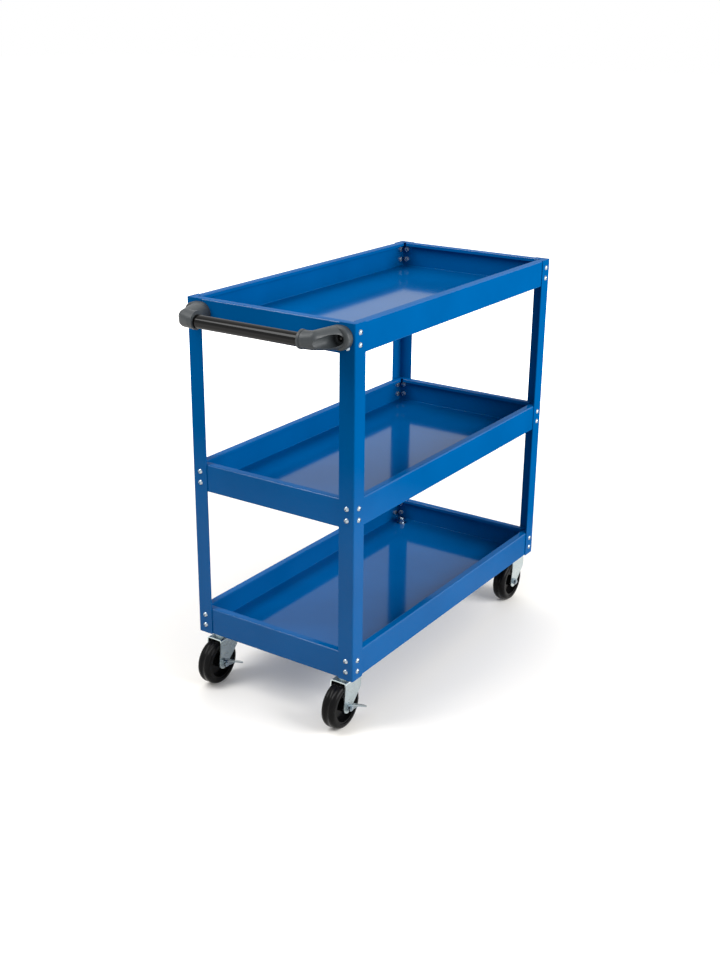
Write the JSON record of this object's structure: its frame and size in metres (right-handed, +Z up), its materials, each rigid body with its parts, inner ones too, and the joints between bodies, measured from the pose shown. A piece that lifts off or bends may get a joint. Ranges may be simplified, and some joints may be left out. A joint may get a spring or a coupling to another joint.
{
  "type": "workshop trolley",
  "caption": "Steel workshop trolley with open trays on corner posts, a tubular push handle on moulded elbows, and swivel casters with brakes at the handle end.",
  "frame": {"origin": "on the floor, below the centre of the whole trolley's box, handle included", "axes": "+X along the trolley away from the handle, +Y across it to the left, +Z up"},
  "size_m": [0.8816, 0.4062, 0.85],
  "materials": {
    "blue_powder_coat": "glossy blue powder coat",
    "zinc": "bright zinc plate",
    "fork_zinc": "bright zinc plate on pressed sheet",
    "ball_steel": "polished steel",
    "tube_black": "glossy black",
    "bracket_plastic": "satin moulded dark grey",
    "black_steel": "black oxide",
    "wheel_plastic": "satin black moulded",
    "tyre_rubber": "smooth black rubber"
  },
  "bodies": {
    "frame": {"tray_top": "blue_powder_coat", "tray_middle": "blue_powder_coat", "tray_bottom": "blue_powder_coat", "post_rear_left": "blue_powder_coat", "post_rear_right": "blue_powder_coat", "post_front_left": "blue_powder_coat", "post_front_right": "blue_powder_coat", "tray_bolts_top": "zinc", "tray_bolts_middle": "zinc", "tray_bolts_bottom": "zinc", "tray_nuts_top": "zinc", "tray_nuts_middle": "zinc", "tray_nuts_bottom": "zinc", "handle_tube": "tube_black", "handle_bracket_left": "bracket_plastic", "handle_bracket_right": "bracket_plastic", "handle_bolts": "black_steel", "handle_nuts": "zinc", "kingpin_nuts": "zinc", "kingpin_washers": "zinc", "swivel_head_rear_left": "zinc", "kingpin_rear_left": "zinc", "race_balls_rear_left": "ball_steel", "swivel_head_rear_right": "zinc", "kingpin_rear_right": "zinc", "race_balls_rear_right": "ball_steel", "swivel_head_front_left": "zinc", "kingpin_front_left": "zinc", "race_balls_front_left": "ball_steel", "swivel_head_front_right": "zinc", "kingpin_front_right": "zinc", "race_balls_front_right": "ball_steel"},
    "swivel_rear_left": {"fork_rear_left": "fork_zinc", "axle_bolt_rear_left": "zinc", "axle_nut_rear_left": "zinc", "axle_sleeve_rear_left": "zinc"},
    "roller_rear_left": {"wheel_rear_left": "wheel_plastic", "tyre_rear_left": "tyre_rubber"},
    "brake_rear_left": {"brake_lever_rear_left": "fork_zinc"},
    "swivel_rear_right": {"fork_rear_right": "fork_zinc", "axle_bolt_rear_right": "zinc", "axle_nut_rear_right": "zinc", "axle_sleeve_rear_right": "zinc"},
    "roller_rear_right": {"wheel_rear_right": "wheel_plastic", "tyre_rear_right": "tyre_rubber"},
    "brake_rear_right": {"brake_lever_rear_right": "fork_zinc"},
    "swivel_front_left": {"fork_front_left": "fork_zinc", "axle_bolt_front_left": "zinc", "axle_nut_front_left": "zinc", "axle_sleeve_front_left": "zinc"},
    "roller_front_left": {"wheel_front_left": "wheel_plastic", "tyre_front_left": "tyre_rubber"},
    "swivel_front_right": {"fork_front_right": "fork_zinc", "axle_bolt_front_right": "zinc", "axle_nut_front_right": "zinc", "axle_sleeve_front_right": "zinc"},
    "roller_front_right": {"wheel_front_right": "wheel_plastic", "tyre_front_right": "tyre_rubber"}
  },
  "joints": [
    {"name": "swivel_rear_left", "type": "hinge", "parent": "frame", "child": "swivel_rear_left", "pos_m": [-0.32928, 0.163, 0.117], "axis": [0, 0, 1], "continuous": true},
    {"name": "roll_rear_left", "type": "hinge", "parent": "swivel_rear_left", "child": "roller_rear_left", "pos_m": [-0.35128, 0.163, 0.05], "axis": [0, 1, 0], "continuous": true},
    {"name": "brake_rear_left", "type": "hinge", "parent": "swivel_rear_left", "child": "brake_rear_left", "pos_m": [-0.35128, 0.163, 0.05], "axis": [0, 1, 0], "range_deg": [-30, 0]},
    {"name": "swivel_rear_right", "type": "hinge", "parent": "frame", "child": "swivel_rear_right", "pos_m": [-0.32928, -0.163, 0.117], "axis": [0, 0, 1], "continuous": true},
    {"name": "roll_rear_right", "type": "hinge", "parent": "swivel_rear_right", "child": "roller_rear_right", "pos_m": [-0.35128, -0.163, 0.05], "axis": [0, 1, 0], "continuous": true},
    {"name": "brake_rear_right", "type": "hinge", "parent": "swivel_rear_right", "child": "brake_rear_right", "pos_m": [-0.35128, -0.163, 0.05], "axis": [0, 1, 0], "range_deg": [-30, 0]},
    {"name": "swivel_front_left", "type": "hinge", "parent": "frame", "child": "swivel_front_left", "pos_m": [0.40472, 0.163, 0.117], "axis": [0, 0, 1], "continuous": true},
    {"name": "roll_front_left", "type": "hinge", "parent": "swivel_front_left", "child": "roller_front_left", "pos_m": [0.38272, 0.163, 0.05], "axis": [0, 1, 0], "continuous": true},
    {"name": "swivel_front_right", "type": "hinge", "parent": "frame", "child": "swivel_front_right", "pos_m": [0.40472, -0.163, 0.117], "axis": [0, 0, 1], "continuous": true},
    {"name": "roll_front_right", "type": "hinge", "parent": "swivel_front_right", "child": "roller_front_right", "pos_m": [0.38272, -0.163, 0.05], "axis": [0, 1, 0], "continuous": true}
  ]
}
